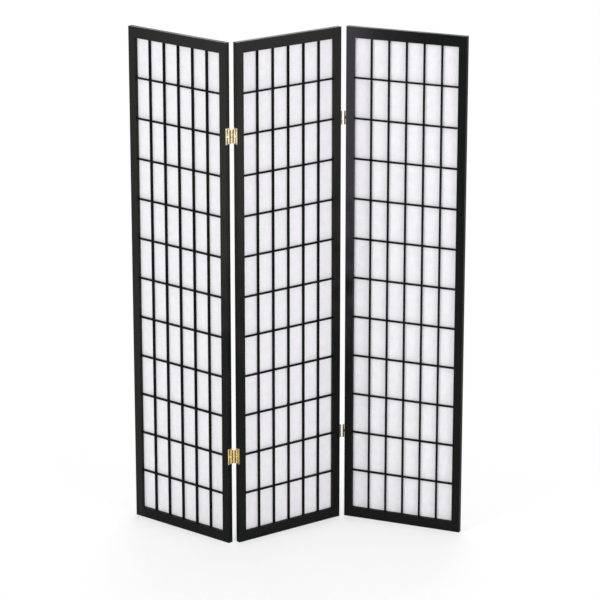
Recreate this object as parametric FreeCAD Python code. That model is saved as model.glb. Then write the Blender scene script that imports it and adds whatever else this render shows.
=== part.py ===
import FreeCAD, Part
import math
import os

# Three-panel shoji folding screen: lacquered wood frames, half-lapped lattices,
# paper behind them, and two-way brass hinges with two pins each.
# Millimetres, +Z up, front towards -Y. The origin is on the floor, at the middle
# of the footprint of the screen as it stands in its zigzag.

# Panels
PANEL_WIDTH = 435.0
PANEL_HEIGHT = 1778.0
PANEL_THICKNESS = 19.0
STILE_WIDTH = 29.0
TOP_RAIL_HEIGHT = 38.0
BOTTOM_RAIL_HEIGHT = 36.0
ARRIS = 0.8

# Mortise and tenon between rails and stiles
TENON_LENGTH = 20.0
TENON_THICKNESS = 7.0
TENON_SETBACK = 4.0
TENON_SHOULDER = 8.0
TENON_CLEARANCE = 0.1

# Lattice, half-lapped at every crossing, its bar ends let into the frame
COLUMNS = 6
ROWS = 12
BAR_WIDTH = 5.0
BAR_DEPTH = 10.0
LATTICE_SETBACK = 3.5
STUB_LENGTH = 4.0
LAP_CLEARANCE = 0.05

# Paper in the frame's rebate, and the beads that hold it
REBATE_WIDTH = 6.0
PAPER_THICKNESS = 0.4
PAPER_MARGIN = 0.5
BEAD_CHAMFER = 1.6
BEAD_CLEARANCE = 0.05

# Two-way hinges
HINGE_ROWS = 2
KNUCKLE_RADIUS = 3.0
KNUCKLE_GAP = 0.2
PIN_RADIUS = 1.5
PIN_SIDES = 16
PIN_FIT = 0.02
LINK_FIT = 0.06
FOLD_CLEARANCE = 0.45
LUG_HEIGHT = 8.0
BARREL_HEIGHT = 20.0
LINK_WEB = 2.6
LUG_CLEARANCE = 0.4
END_PLAY = 0.3
PIN_PROUD = 1.0
LEAF_THICKNESS = 1.6
LEAF_MARGIN = 4.2
LEAF_FIT = 0.05
BARREL_SIDES = 10

# Countersunk wood screws, four to a leaf
SCREW_LENGTH = 14.0
SCREW_RADIUS = 1.2
SCREW_HEAD_RADIUS = 2.3
SCREW_HEAD_DEPTH = 1.2
SCREW_POINT = 3.0
SCREW_POINT_RADIUS = 0.2
SCREW_OFFSET = 5.9
SCREW_RISE = 19.0
SCREW_FIT = 0.05
SCREW_SIDES = 6

# How the screen stands, in degrees seen from above. A fold of 0 is straight, and
# a negative one closes the zigzag; each hinge folds at two pins.
CENTRE_ANGLE = 36.0
LEFT_INNER_FOLD = -18.5
LEFT_OUTER_FOLD = -56.7
RIGHT_INNER_FOLD = -18.5
RIGHT_OUTER_FOLD = -40.1

# Places that follow from the sizes
HALF_THICKNESS = PANEL_THICKNESS / 2
OPENING_WIDTH = PANEL_WIDTH - 2 * STILE_WIDTH
OPENING_HEIGHT = PANEL_HEIGHT - TOP_RAIL_HEIGHT - BOTTOM_RAIL_HEIGHT
PAPER_PLANE = LATTICE_SETBACK + BAR_DEPTH
BEAD_PLANE = PAPER_PLANE + PAPER_THICKNESS
COLUMN_PITCH = (OPENING_WIDTH + BAR_WIDTH) / COLUMNS
ROW_PITCH = (OPENING_HEIGHT + BAR_WIDTH) / ROWS
COLUMN_CENTRES = [STILE_WIDTH - BAR_WIDTH / 2 + COLUMN_PITCH * i for i in range(1, COLUMNS)]
ROW_CENTRES = [BOTTOM_RAIL_HEIGHT - BAR_WIDTH / 2 + ROW_PITCH * i for i in range(1, ROWS)]
HINGE_HEIGHTS = {"lower": ROW_CENTRES[HINGE_ROWS - 1], "upper": ROW_CENTRES[-HINGE_ROWS]}
PIN_OFFSET = KNUCKLE_RADIUS + KNUCKLE_GAP
PIN_SPACING = 2 * math.hypot(PIN_OFFSET, HALF_THICKNESS) + FOLD_CLEARANCE
STACK_HEIGHT = LUG_HEIGHT + 2 * BARREL_HEIGHT + 2 * END_PLAY
LEAF_HEIGHT = STACK_HEIGHT + 2 * LEAF_MARGIN


# Points nearer than this are one point
TOUCH = 1e-6


def vector(x=0.0, y=0.0, z=0.0):
    return FreeCAD.Vector(x, y, z)


def block(x, y, z):
    """A box between the two ends of each span (low, high)."""
    return Part.makeBox(x[1] - x[0], y[1] - y[0], z[1] - z[0], vector(x[0], y[0], z[0]))


def grown(span, by):
    return span[0] - by, span[1] + by


def centred(middle, size):
    return middle - size / 2, middle + size / 2


def long_edges_at(shape, x, y):
    """The upright edges of a shape that stand at plan point (x, y)."""
    found = []
    for edge in shape.Edges:
        ends = [vertex.Point for vertex in edge.Vertexes]
        if all(math.hypot(p.x - x, p.y - y) < TOUCH for p in ends):
            found.append(edge)
    return found


def flats_round(radius, sides):
    """Corners of a many-sided figure that stands for a circle of this radius."""
    turns = [2 * math.pi * (i + 0.5) / sides for i in range(sides)]
    return [(radius * math.cos(turn), radius * math.sin(turn)) for turn in turns]


def flat_face(points):
    return Part.Face(Part.makePolygon(points + points[:1]))


def turned_along_x(outline, sides, start=None):
    """Solid with flat sides through (x, radius) points along X, such as a screw or its hole."""
    start = start or vector()
    rings = [[start + vector(x, a, b) for a, b in flats_round(radius, sides)] for x, radius in outline]
    faces = [flat_face(rings[0]), flat_face(rings[-1])]
    for near, far in zip(rings, rings[1:]):
        faces += [flat_face([near[i - 1], near[i], far[i], far[i - 1]]) for i in range(sides)]
    return Part.makeSolid(Part.makeShell(faces))


def hole_radius(radius, sides):
    """Corner radius of a hole whose flats clear a round of this radius."""
    return radius / math.cos(math.pi / sides)


def turned(shapes, x, y, angle, z=0.0):
    """Copies of shapes, turned about Z and then moved to (x, y, z)."""
    place = FreeCAD.Placement(vector(x, y, z), FreeCAD.Rotation(vector(0, 0, 1), angle))
    copies = []
    for shape in shapes:
        copy = shape.copy()
        copy.Placement = place.multiply(copy.Placement)
        copies.append(copy)
    return copies


# Frame of one panel. It stands on the floor, left edge at X 0 and front at Y 0.

TENON_DEPTH = (TENON_SETBACK, TENON_SETBACK + TENON_THICKNESS)
TENON_RISES = {
    "bottom": (TENON_SHOULDER, BOTTOM_RAIL_HEIGHT - TENON_SHOULDER),
    "top": (PANEL_HEIGHT - TOP_RAIL_HEIGHT + TENON_SHOULDER, PANEL_HEIGHT - TENON_SHOULDER),
}
REBATE_RISE = (BOTTOM_RAIL_HEIGHT - REBATE_WIDTH, PANEL_HEIGHT - TOP_RAIL_HEIGHT + REBATE_WIDTH)
BAR_SPAN = (LATTICE_SETBACK, PAPER_PLANE)


def screw_places(z):
    """Depth and height of the four screws of a leaf whose middle is at height z."""
    return [(y, z + dz) for y in (-SCREW_OFFSET, SCREW_OFFSET) for dz in (-SCREW_RISE, SCREW_RISE)]


def hinge_gain(z):
    """What is cut from a stile's outer edge for one leaf and its screws."""
    cut = block((-1.0, LEAF_THICKNESS), (0.0, PANEL_THICKNESS), grown(centred(z, LEAF_HEIGHT), LEAF_FIT))
    radius = hole_radius(SCREW_RADIUS + SCREW_FIT, SCREW_SIDES)
    for y, height in screw_places(z):
        place = vector(0, y + HALF_THICKNESS, height)
        cut = cut.fuse(turned_along_x([(0, radius), (SCREW_LENGTH + SCREW_FIT, radius)], SCREW_SIDES, place))
    return cut


def left_stile(hinged):
    """Full-height upright, with its mortises, bar sockets, paper rebate and hinge gains."""
    body = block((0, STILE_WIDTH), (0, PANEL_THICKNESS), (0, PANEL_HEIGHT))
    corners = long_edges_at(body, 0, 0) + long_edges_at(body, 0, PANEL_THICKNESS)
    body = body.makeChamfer(ARRIS, corners)
    rebate = (STILE_WIDTH - REBATE_WIDTH, STILE_WIDTH + 1)
    cuts = [block(rebate, (PAPER_PLANE, PANEL_THICKNESS + 1), REBATE_RISE)]
    mortise = (STILE_WIDTH - TENON_LENGTH - TENON_CLEARANCE, STILE_WIDTH + 1)
    for rise in TENON_RISES.values():
        cuts.append(block(mortise, grown(TENON_DEPTH, TENON_CLEARANCE), grown(rise, TENON_CLEARANCE)))
    for z in ROW_CENTRES:
        socket = (STILE_WIDTH - STUB_LENGTH - LAP_CLEARANCE, STILE_WIDTH + 1)
        rise = grown(centred(z, BAR_WIDTH), LAP_CLEARANCE)
        cuts.append(block(socket, (LATTICE_SETBACK - LAP_CLEARANCE, PAPER_PLANE + 1), rise))
    if hinged:
        cuts += [hinge_gain(z) for z in HINGE_HEIGHTS.values()]
    return body.cut(cuts)


def right_stile(hinged):
    return left_stile(hinged).mirror(vector(PANEL_WIDTH / 2, 0, 0), vector(1, 0, 0))


def rail(edge, span, rebate, socket):
    """Rail between the stiles: tenons at its ends, bar sockets and paper rebate along one edge."""
    body = block((STILE_WIDTH, PANEL_WIDTH - STILE_WIDTH), (0, PANEL_THICKNESS), span)
    ends = (STILE_WIDTH - TENON_LENGTH, PANEL_WIDTH - STILE_WIDTH + TENON_LENGTH)
    body = body.fuse(block(ends, TENON_DEPTH, TENON_RISES[edge]))
    inside = (STILE_WIDTH, PANEL_WIDTH - STILE_WIDTH)
    cuts = [block(inside, (PAPER_PLANE, PANEL_THICKNESS + 1), rebate)]
    for x in COLUMN_CENTRES:
        width = grown(centred(x, BAR_WIDTH), LAP_CLEARANCE)
        cuts.append(block(width, (LATTICE_SETBACK - LAP_CLEARANCE, PAPER_PLANE + 1), socket))
    return body.cut(cuts)


def top_rail():
    foot = PANEL_HEIGHT - TOP_RAIL_HEIGHT
    socket = (foot - 1, foot + STUB_LENGTH + LAP_CLEARANCE)
    return rail("top", (foot, PANEL_HEIGHT), (foot - 1, REBATE_RISE[1]), socket)


def bottom_rail():
    head = BOTTOM_RAIL_HEIGHT
    socket = (head - STUB_LENGTH - LAP_CLEARANCE, head + 1)
    return rail("bottom", (0, head), (REBATE_RISE[0], head + 1), socket)


# Lattice: upright bars are notched from behind, level bars from the front.

LAP_PLANE = LATTICE_SETBACK + BAR_DEPTH / 2


def vertical_bars():
    rise = (BOTTOM_RAIL_HEIGHT - STUB_LENGTH, PANEL_HEIGHT - TOP_RAIL_HEIGHT + STUB_LENGTH)
    notches = (LAP_PLANE, PAPER_PLANE + 1)
    notch_rises = [grown(centred(z, BAR_WIDTH), LAP_CLEARANCE) for z in ROW_CENTRES]
    bars = []
    for x in COLUMN_CENTRES:
        width = centred(x, BAR_WIDTH)
        laps = [block(grown(width, 1), notches, notch) for notch in notch_rises]
        bars.append(block(width, BAR_SPAN, rise).cut(laps))
    return bars


def horizontal_bars():
    run = (STILE_WIDTH - STUB_LENGTH, PANEL_WIDTH - STILE_WIDTH + STUB_LENGTH)
    notches = (LATTICE_SETBACK - 1, LAP_PLANE)
    notch_runs = [grown(centred(x, BAR_WIDTH), LAP_CLEARANCE) for x in COLUMN_CENTRES]
    bars = []
    for z in ROW_CENTRES:
        width = centred(z, BAR_WIDTH)
        laps = [block(notch, notches, grown(width, 1)) for notch in notch_runs]
        bars.append(block(run, BAR_SPAN, width).cut(laps))
    return bars


# Paper and its beads

PAPER_RUN = grown((STILE_WIDTH, PANEL_WIDTH - STILE_WIDTH), REBATE_WIDTH)


def paper():
    """One sheet, glued to the back of the lattice and lapping onto the frame's rebate."""
    run = grown(PAPER_RUN, -PAPER_MARGIN)
    rise = grown(REBATE_RISE, -PAPER_MARGIN)
    return block(run, (PAPER_PLANE, BEAD_PLANE), rise)


def side_beads():
    """Upright strips, the full height of the rebate, chamfered along the inner back edge."""
    outer = STILE_WIDTH - REBATE_WIDTH + BEAD_CLEARANCE
    rise = grown(REBATE_RISE, -BEAD_CLEARANCE)
    left = block((outer, STILE_WIDTH), (BEAD_PLANE, PANEL_THICKNESS), rise)
    left = left.makeChamfer(BEAD_CHAMFER, long_edges_at(left, STILE_WIDTH, PANEL_THICKNESS))
    return [left, left.mirror(vector(PANEL_WIDTH / 2, 0, 0), vector(1, 0, 0))]


def end_bead(outer, inner):
    """Level strip between the upright ones, chamfered the same way."""
    run = grown((STILE_WIDTH, PANEL_WIDTH - STILE_WIDTH), -BEAD_CLEARANCE)
    strip = block(run, (BEAD_PLANE, PANEL_THICKNESS), sorted((outer, inner)))
    corner = vector(0, PANEL_THICKNESS, inner)
    edges = []
    for edge in strip.Edges:
        if all(abs(v.Z - corner.z) < TOUCH and abs(v.Y - corner.y) < TOUCH for v in edge.Vertexes):
            edges.append(edge)
    return strip.makeChamfer(BEAD_CHAMFER, edges)


def end_beads():
    foot = end_bead(REBATE_RISE[0] + BEAD_CLEARANCE, BOTTOM_RAIL_HEIGHT)
    head = end_bead(REBATE_RISE[1] - BEAD_CLEARANCE, PANEL_HEIGHT - TOP_RAIL_HEIGHT)
    return [foot, head]


def panel(name, hinged_left, hinged_right):
    return {
        name + "_left_stile": [left_stile(hinged_left)],
        name + "_right_stile": [right_stile(hinged_right)],
        name + "_top_rail": [top_rail()],
        name + "_bottom_rail": [bottom_rail()],
        name + "_vertical_bars": vertical_bars(),
        name + "_horizontal_bars": horizontal_bars(),
        name + "_paper": [paper()],
        name + "_side_beads": side_beads(),
        name + "_end_beads": end_beads(),
    }


# Two-way hinge. Each piece is made about its pin, at the hinge's middle height,
# with the stile towards +X.

LUG_SPAN = centred(0, LUG_HEIGHT)
BARREL_SPANS = [centred(side * (LUG_HEIGHT + BARREL_HEIGHT + 2 * END_PLAY) / 2, BARREL_HEIGHT) for side in (-1, 1)]


def barrel(radius, span, x=0.0, sides=BARREL_SIDES):
    """Upright many-sided rod about the point X on the link."""
    ring = [vector(x + a, b, span[0]) for a, b in flats_round(radius, sides)]
    return flat_face(ring).extrude(vector(0, 0, span[1] - span[0]))


def screw():
    """Countersunk screw along +X, its head flush with X 0."""
    outline = [(0, SCREW_HEAD_RADIUS), (SCREW_HEAD_DEPTH, SCREW_RADIUS),
               (SCREW_LENGTH - SCREW_POINT, SCREW_RADIUS), (SCREW_LENGTH, SCREW_POINT_RADIUS)]
    return turned_along_x(outline, SCREW_SIDES)


def countersink(place):
    """Hole through the leaf that the screw's head and shank clear."""
    mouth = hole_radius(SCREW_HEAD_RADIUS + SCREW_FIT, SCREW_SIDES)
    throat = hole_radius(SCREW_RADIUS + SCREW_FIT, SCREW_SIDES)
    outline = [(0, mouth), (SCREW_HEAD_DEPTH, throat), (LEAF_THICKNESS, throat)]
    return turned_along_x(outline, SCREW_SIDES, place)


def leaf():
    """Plate let into the stile's edge, with one lug bored for the pin."""
    width = centred(0, PANEL_THICKNESS)
    plate = block((PIN_OFFSET, PIN_OFFSET + LEAF_THICKNESS), width, centred(0, LEAF_HEIGHT))
    corners = [edge for side in width for edge in long_edges_at(plate, PIN_OFFSET, side)]
    plate = plate.makeChamfer(ARRIS, corners)
    neck = centred(0, 2 * KNUCKLE_RADIUS * math.cos(math.pi / BARREL_SIDES))
    lug = barrel(KNUCKLE_RADIUS, LUG_SPAN).fuse(block((0, PIN_OFFSET + LEAF_THICKNESS / 2), neck, LUG_SPAN))
    cuts = [barrel(hole_radius(PIN_RADIUS + PIN_FIT, BARREL_SIDES), LUG_SPAN)]
    cuts += [countersink(vector(PIN_OFFSET, y, z)) for y, z in screw_places(0)]
    return plate.fuse(lug).cut(cuts).removeSplitter()


def link():
    """Figure-eight link: a barrel above and below the lug on both pins, all four on one web."""
    body = block((0, PIN_SPACING), centred(0, LINK_WEB), centred(0, STACK_HEIGHT))
    room = grown(LUG_SPAN, END_PLAY)
    reach = KNUCKLE_RADIUS + LUG_CLEARANCE
    bore = hole_radius(PIN_RADIUS + LINK_FIT, BARREL_SIDES)
    cuts = []
    for x in (0.0, PIN_SPACING):
        body = body.fuse([barrel(KNUCKLE_RADIUS, span, x) for span in BARREL_SPANS])
        cuts.append(block(grown((x, x), reach), centred(0, 2 * LINK_WEB), room))
        cuts += [barrel(bore, span, x) for span in BARREL_SPANS]
    return body.cut(cuts).removeSplitter()


def pin():
    """Plain pin, a little proud of the link's barrels."""
    reach = STACK_HEIGHT / 2 + PIN_PROUD
    return barrel(PIN_RADIUS, (-reach, reach), sides=PIN_SIDES)


def leaf_screws():
    screws = []
    for y, z in screw_places(0):
        one = screw()
        one.translate(vector(PIN_OFFSET, y, z))
        screws.append(one)
    return screws


# Standing places of the panels and pins, before the origin is moved to the middle

def along(angle, length, across=0.0):
    """Plan vector of a length along a direction and another across it, to the back."""
    c = math.cos(math.radians(angle))
    s = math.sin(math.radians(angle))
    return vector(length * c - across * s, length * s + across * c)


LEFT_LINK_ANGLE = CENTRE_ANGLE + LEFT_INNER_FOLD
LEFT_ANGLE = LEFT_LINK_ANGLE + LEFT_OUTER_FOLD
RIGHT_LINK_ANGLE = CENTRE_ANGLE + RIGHT_INNER_FOLD
RIGHT_ANGLE = RIGHT_LINK_ANGLE + RIGHT_OUTER_FOLD

CENTRE_CORNER = vector()
LEFT_INNER_PIN = CENTRE_CORNER + along(CENTRE_ANGLE, -PIN_OFFSET, HALF_THICKNESS)
LEFT_OUTER_PIN = LEFT_INNER_PIN - along(LEFT_LINK_ANGLE, PIN_SPACING)
LEFT_CORNER = LEFT_OUTER_PIN - along(LEFT_ANGLE, PIN_OFFSET + PANEL_WIDTH, HALF_THICKNESS)
RIGHT_INNER_PIN = CENTRE_CORNER + along(CENTRE_ANGLE, PANEL_WIDTH + PIN_OFFSET, HALF_THICKNESS)
RIGHT_OUTER_PIN = RIGHT_INNER_PIN + along(RIGHT_LINK_ANGLE, PIN_SPACING)
RIGHT_CORNER = RIGHT_OUTER_PIN + along(RIGHT_ANGLE, PIN_OFFSET, -HALF_THICKNESS)


def footprint_middle():
    """Middle of the plan box round the three panels, whose corners are chamfered."""
    outline = [(x, y) for x in grown((0, PANEL_WIDTH), -ARRIS) for y in (0, PANEL_THICKNESS)]
    outline += [(x, y) for x in (0, PANEL_WIDTH) for y in grown((0, PANEL_THICKNESS), -ARRIS)]
    stands = ((LEFT_CORNER, LEFT_ANGLE), (CENTRE_CORNER, CENTRE_ANGLE), (RIGHT_CORNER, RIGHT_ANGLE))
    points = [corner + along(angle, x, y) for corner, angle in stands for x, y in outline]
    xs = [point.x for point in points]
    ys = [point.y for point in points]
    return vector((min(xs) + max(xs)) / 2, (min(ys) + max(ys)) / 2)


def place_panel(name, corner, angle, hinged_left, hinged_right):
    pieces = panel(name, hinged_left, hinged_right)
    return {node: turned(shapes, corner.x, corner.y, angle) for node, shapes in pieces.items()}


def place_hinge(name, z, pins, angles):
    """One hinge: inner pieces ride on the centre panel, outer ones on the other panel."""
    pieces = {}
    inner_angle, outer_angle, link_angle = angles
    for side, pivot, angle in (("inner", pins[0], inner_angle), ("outer", pins[1], outer_angle)):
        pieces[name + "_" + side + "_leaf"] = turned([leaf()], pivot.x, pivot.y, angle, z)
        pieces[name + "_" + side + "_pin"] = turned([pin()], pivot.x, pivot.y, angle, z)
        pieces[name + "_" + side + "_screws"] = turned(leaf_screws(), pivot.x, pivot.y, angle, z)
    pieces[name + "_link"] = turned([link()], pins[0].x, pins[0].y, link_angle, z)
    return pieces


middle = footprint_middle()
left_pins = (LEFT_INNER_PIN - middle, LEFT_OUTER_PIN - middle)
right_pins = (RIGHT_INNER_PIN - middle, RIGHT_OUTER_PIN - middle)
nodes = {}
nodes.update(place_panel("left", LEFT_CORNER - middle, LEFT_ANGLE, False, True))
nodes.update(place_panel("centre", CENTRE_CORNER - middle, CENTRE_ANGLE, True, True))
nodes.update(place_panel("right", RIGHT_CORNER - middle, RIGHT_ANGLE, True, False))
for level, height in HINGE_HEIGHTS.items():
    angles = (CENTRE_ANGLE, LEFT_ANGLE + 180, LEFT_LINK_ANGLE + 180)
    nodes.update(place_hinge("left_" + level + "_hinge", height, left_pins, angles))
    angles = (CENTRE_ANGLE + 180, RIGHT_ANGLE, RIGHT_LINK_ANGLE)
    nodes.update(place_hinge("right_" + level + "_hinge", height, right_pins, angles))

os.makedirs("parts", exist_ok=True)
for node, shapes in nodes.items():
    for shape in shapes:
        if not shape.isValid() or len(shape.Solids) != 1:
            raise ValueError(node + " is not made of sound single solids")
    solids = [shape.Solids[0] for shape in shapes]
    whole = solids[0] if len(solids) == 1 else Part.makeCompound(solids)
    whole.exportStep("parts/" + node + ".step")

print(len(nodes), "nodes,", sum(len(shapes) for shapes in nodes.values()), "solids")
for label, pivot in zip(("left inner", "left outer", "right inner", "right outer"), left_pins + right_pins):
    print(label, "pin at", round(pivot.x, 4), round(pivot.y, 4))
for level, height in HINGE_HEIGHTS.items():
    print(level, "hinges at height", round(height, 3))
print("centre panel's left front corner at", round(-middle.x, 4), round(-middle.y, 4))
print("pins of a hinge", round(PIN_SPACING, 4), "apart")
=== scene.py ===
"""Three-panel shoji folding screen: black lacquered frames and lattice over paper, brass two-way hinges."""
import math

import bmesh
import bpy
import numpy as np
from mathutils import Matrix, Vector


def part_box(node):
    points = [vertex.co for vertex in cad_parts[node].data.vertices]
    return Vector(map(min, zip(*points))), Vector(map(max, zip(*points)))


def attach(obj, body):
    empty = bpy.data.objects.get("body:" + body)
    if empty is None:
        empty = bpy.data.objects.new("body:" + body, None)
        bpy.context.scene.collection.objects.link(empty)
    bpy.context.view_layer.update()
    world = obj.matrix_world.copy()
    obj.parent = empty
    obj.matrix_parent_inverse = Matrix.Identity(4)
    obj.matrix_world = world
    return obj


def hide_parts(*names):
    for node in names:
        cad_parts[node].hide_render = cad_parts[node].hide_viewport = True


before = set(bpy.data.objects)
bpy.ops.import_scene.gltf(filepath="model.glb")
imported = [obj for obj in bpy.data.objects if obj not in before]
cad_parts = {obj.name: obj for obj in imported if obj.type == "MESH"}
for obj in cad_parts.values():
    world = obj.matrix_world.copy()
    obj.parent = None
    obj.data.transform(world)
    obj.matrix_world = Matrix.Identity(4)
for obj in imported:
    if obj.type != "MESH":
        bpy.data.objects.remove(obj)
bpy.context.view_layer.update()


# ---------------------------------------------------------------- stiles
# Six full-height uprights of planed softwood, 29 x 19 mm, sprayed with black satin
# lacquer. Their long arrises are eased by hand, the back inner edge is rebated for the
# paper, and the edges that meet a neighbour are cut 1.6 mm deep for the hinge leaves.

MM = 0.001
PANEL_WIDTH, PANEL_HEIGHT, PANEL_THICKNESS = 435.0, 1778.0, 19.0
STILE_WIDTH, TOP_RAIL_HEIGHT, BOTTOM_RAIL_HEIGHT = 29.0, 38.0, 36.0
EASED, KEEN = 1.1, 0.3                     # radius of a handled arris and of one left as planed
SHARPEST = 0.02                            # radius that an arris has at the least
REBATE_WIDTH, PAPER_PLANE = 6.0, 13.5
REBATE_RISE = (BOTTOM_RAIL_HEIGHT - REBATE_WIDTH, PANEL_HEIGHT - TOP_RAIL_HEIGHT + REBATE_WIDTH)
LEAF_THICKNESS, LEAF_HEIGHT = 1.6, 57.0
PIN_OFFSET, HALF_THICKNESS = 3.2, PANEL_THICKNESS / 2
PANEL_ANGLES = {"left": -39.2, "centre": 36.0, "right": -22.6}


def middle_of(node):
    """Middle of a CAD node's box in millimetres."""
    low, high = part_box(node)
    return np.array((low + high) / 2) / MM


def turned_about_z(points, degrees):
    """Points (x, y, z) turned about Z: x cos - y sin, x sin + y cos."""
    c, s = math.cos(math.radians(degrees)), math.sin(math.radians(degrees))
    return points @ np.array([[c, s, 0.0], [-s, c, 0.0], [0.0, 0.0, 1.0]])


def panel_corner(panel):
    """Front left foot of a panel, found from the pin that it hangs on."""
    pin, step = {
        "left": ("left_upper_hinge_outer_pin", (-PIN_OFFSET - PANEL_WIDTH, -HALF_THICKNESS, 0)),
        "centre": ("left_upper_hinge_inner_pin", (PIN_OFFSET, -HALF_THICKNESS, 0)),
        "right": ("right_upper_hinge_outer_pin", (PIN_OFFSET, -HALF_THICKNESS, 0)),
    }[panel]
    corner = middle_of(pin) + turned_about_z(np.array(step, float), PANEL_ANGLES[panel])
    return corner * (1, 1, 0)


PANEL_CORNERS = {panel: panel_corner(panel) for panel in PANEL_ANGLES}
HINGE_HEIGHTS = [middle_of(f"left_{level}_hinge_inner_pin")[2] for level in ("lower", "upper")]


def on_panel(panel):
    """Placing of a panel's own millimetres: x from its left edge, y from its front, z up."""
    return lambda points: turned_about_z(points, PANEL_ANGLES[panel]) + PANEL_CORNERS[panel]


def outline(corners, radii, inset, steps=3):
    """Closed outlines with eased corners, one for each station.

    corners is (stations, corners, 2), anticlockwise; inset moves every side inwards by that much.
    A mitred corner is c + inset (m + n) / (1 + m.n), with m and n the sides' inward normals, and
    its easing is the parabola (1-s)^2 A + 2 s (1-s) C + s^2 B between points A and B on its sides."""
    corners, radii = np.asarray(corners, float), np.asarray(radii, float)
    inset = np.asarray(inset, float)[..., None, None]
    out = np.roll(corners, -1, -2) - corners
    out /= np.linalg.norm(out, axis=-1, keepdims=True)
    into = np.roll(out, 1, -2)
    m, n = into[..., ::-1] * (-1, 1), out[..., ::-1] * (-1, 1)
    corner = corners + inset * (m + n) / (1 + (m * n).sum(-1, keepdims=True))
    reach = np.maximum(radii[..., None] - inset, SHARPEST)
    s = np.linspace(0, 1, steps + 1)[:, None]
    a, b, c = (p[..., None, :] for p in (corner - reach * into, corner + reach * out, corner))
    points = (1 - s) ** 2 * a + 2 * s * (1 - s) * c + s ** 2 * b
    return points.reshape(*points.shape[:-3], -1, 2)


def eased_run(start, stop, stations, arris):
    """Places along a member and how far each outline is drawn in there. At an end the place is
    arris (1 - cos t) in and the outline arris (1 - sin t) smaller, with t from 0 to 90 degrees."""
    t = np.linspace(0, math.pi / 2, 3)
    near, drawn = arris * (1 - np.cos(t)), arris * (1 - np.sin(t))
    along = np.concatenate([start + near, stations, stop - near[::-1]])
    return along, np.concatenate([drawn, np.zeros(len(stations)), drawn[::-1]])


def swept(rings, along):
    """A closed body: ring j of (a, b) points lies at place along[j], and quads join ring to ring.

    Returns its points (a, b, along) and its faces, with a flat end at each end."""
    count, size = rings.shape[:2]
    points = np.concatenate([rings, np.broadcast_to(along[:, None, None], (count, size, 1))], -1)
    j, i = np.meshgrid(np.arange(count - 1), np.arange(size), indexing="ij")
    k = (i + 1) % size
    quads = np.stack([j * size + i, j * size + k, (j + 1) * size + k, (j + 1) * size + i], -1)
    first, last = np.arange(size)[::-1], (count - 1) * size + np.arange(size)
    return points.reshape(-1, 3), quads.reshape(-1, 4).tolist() + [first.tolist(), last.tolist()]


def piece(name, parts, place, material, body, nodes, shade=None):
    """One piece from parts, each of them points in mm, faces and pattern points, joined and placed.

    The pattern points, in metres, are kept on the mesh for the material to read, and so is a shade
    from 0 to 1 for each point where the piece has one."""
    counts = np.cumsum([0] + [len(points) for points, _, _ in parts])
    faces = [[v + first for v in face] for first, (_, own, _) in zip(counts, parts) for face in own]
    points = place(np.concatenate([points for points, _, _ in parts])) * MM
    mesh = bpy.data.meshes.new(name)
    mesh.from_pydata(points.tolist(), [], faces)
    pattern = mesh.attributes.new("pattern", "FLOAT_VECTOR", "POINT")
    places = np.concatenate([own for _, _, own in parts])
    pattern.data.foreach_set("vector", places.astype(np.float32).ravel())
    hollow = mesh.attributes.new("hollow", "FLOAT", "POINT")
    shade = np.zeros(len(points)) if shade is None else shade
    hollow.data.foreach_set("value", shade.astype(np.float32))
    work = bmesh.new()
    work.from_mesh(mesh)
    bmesh.ops.remove_doubles(work, verts=work.verts, dist=1e-7)
    work.to_mesh(mesh)
    work.free()
    mesh.shade_smooth()
    mesh.materials.append(material)
    obj = bpy.data.objects.new(name, mesh)
    bpy.context.scene.collection.objects.link(obj)
    weighted = obj.modifiers.new("flat faces stay flat", "WEIGHTED_NORMAL")
    weighted.weight = 100
    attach(obj, body)
    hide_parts(*nodes)
    return obj


draws = np.random.default_rng(19)
PLANK_REACH = 40.0                         # metres over which the wooden pieces' places are spread


def grained(points, along):
    """Pattern points of a wooden member in metres. Its grain, along axis number along, is laid on
    pattern x, and the member has a place of its own on the plank."""
    order = [along, (along + 1) % 3, (along + 2) % 3]
    return points[:, order] * MM + draws.uniform(0, PLANK_REACH, 3)


def colour(code):
    """Linear colour of an sRGB hex value: ((v + 0.055) / 1.055) ^ 2.4, or v / 12.92 where it is dark."""
    v = np.array([int(code[i:i + 2], 16) / 255 for i in (1, 3, 5)])
    return (*np.where(v > 0.04045, ((v + 0.055) / 1.055) ** 2.4, v / 12.92), 1.0)


def add(tree, kind, links=None, **settings):
    """Adds a node. settings are its own properties or its sockets' values, links feed its sockets."""
    node = tree.nodes.new("ShaderNode" + kind)
    for key, value in settings.items():
        if hasattr(node, key):
            setattr(node, key, value)
        else:
            node.inputs[key.replace("_", " ")].default_value = value
    for key, source in (links or {}).items():
        tree.links.new(source, node.inputs[key])
    return node


def new_material(name):
    """A material with only its output node, and that node."""
    material = bpy.data.materials.new(name)
    material.use_nodes = True
    material.node_tree.nodes.clear()
    return material, material.node_tree, material.node_tree.nodes.new("ShaderNodeOutputMaterial")


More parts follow.
